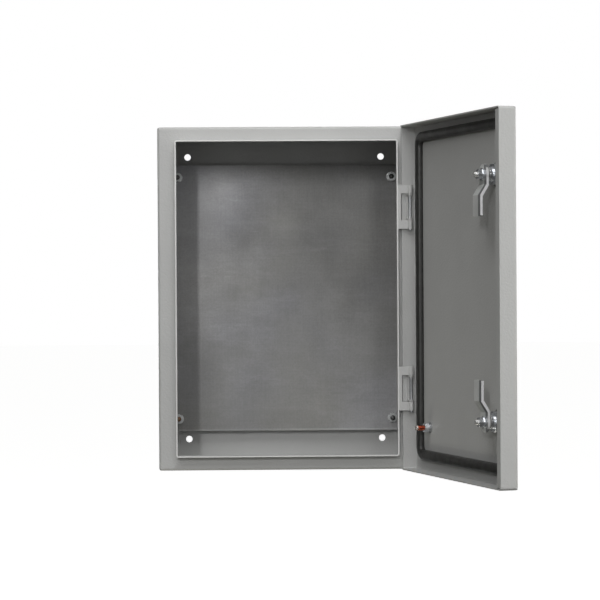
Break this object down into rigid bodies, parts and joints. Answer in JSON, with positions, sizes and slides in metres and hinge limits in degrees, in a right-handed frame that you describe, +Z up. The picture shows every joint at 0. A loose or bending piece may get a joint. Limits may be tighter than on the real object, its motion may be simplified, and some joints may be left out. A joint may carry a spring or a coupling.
{
  "type": "wall enclosure",
  "caption": "Light grey steel wall enclosure with its hinged door open, a galvanised mounting plate inside and cam locks on the door.",
  "frame": {"origin": "middle of the wall-fixing holes, on the outer face of the back", "axes": "+X to the right seen from the front, +Y into the wall, +Z up"},
  "size_m": [0.3851, 0.4755, 0.4],
  "materials": {
    "powder_coat": "satin",
    "galvanised": "matte",
    "zinc": "satin",
    "copper_stud": "satin",
    "foam": "matte",
    "lock_metal": "satin"
  },
  "bodies": {
    "cabinet": {"body_shell": "powder_coat", "back_panel": "powder_coat", "mounting_plate": "galvanised", "plate_studs": "copper_stud", "plate_spacers": "zinc", "plate_washers": "zinc", "plate_nuts": "zinc", "hinge_bracket_upper": "powder_coat", "hinge_bracket_lower": "powder_coat", "hinge_pin_upper": "zinc", "hinge_pin_lower": "zinc"},
    "door": {"door_panel": "powder_coat", "door_gasket": "foam", "door_bracket_upper": "powder_coat", "door_bracket_lower": "powder_coat", "earth_stud": "copper_stud", "earth_washer": "zinc", "earth_lock_washer": "zinc", "earth_nut": "zinc", "lock_housing_upper": "lock_metal", "lock_seal_upper": "foam", "lock_washer_upper": "lock_metal", "lock_nut_upper": "lock_metal", "lock_housing_lower": "lock_metal", "lock_seal_lower": "foam", "lock_washer_lower": "lock_metal", "lock_nut_lower": "lock_metal"},
    "upper_cam": {"lock_insert_upper": "lock_metal", "stop_washer_upper": "lock_metal", "cam_upper": "lock_metal", "cam_washer_upper": "lock_metal", "cam_nut_upper": "lock_metal"},
    "lower_cam": {"lock_insert_lower": "lock_metal", "stop_washer_lower": "lock_metal", "cam_lower": "lock_metal", "cam_washer_lower": "lock_metal", "cam_nut_lower": "lock_metal"}
  },
  "joints": [
    {"name": "door_hinge", "type": "hinge", "parent": "cabinet", "child": "door", "pos_m": [0.1434, -0.1912, 0], "axis": [0, 0, 1], "range_deg": [-106.4, 3.6]},
    {"name": "upper_cam_turn", "type": "hinge", "parent": "door", "child": "upper_cam", "pos_m": [0.20693, -0.42831, 0.131], "axis": [-0.9593, -0.2823, 0], "range_deg": [0, 90]},
    {"name": "lower_cam_turn", "type": "hinge", "parent": "door", "child": "lower_cam", "pos_m": [0.20693, -0.42831, -0.131], "axis": [0.9593, 0.2823, 0], "range_deg": [0, 90]}
  ]
}
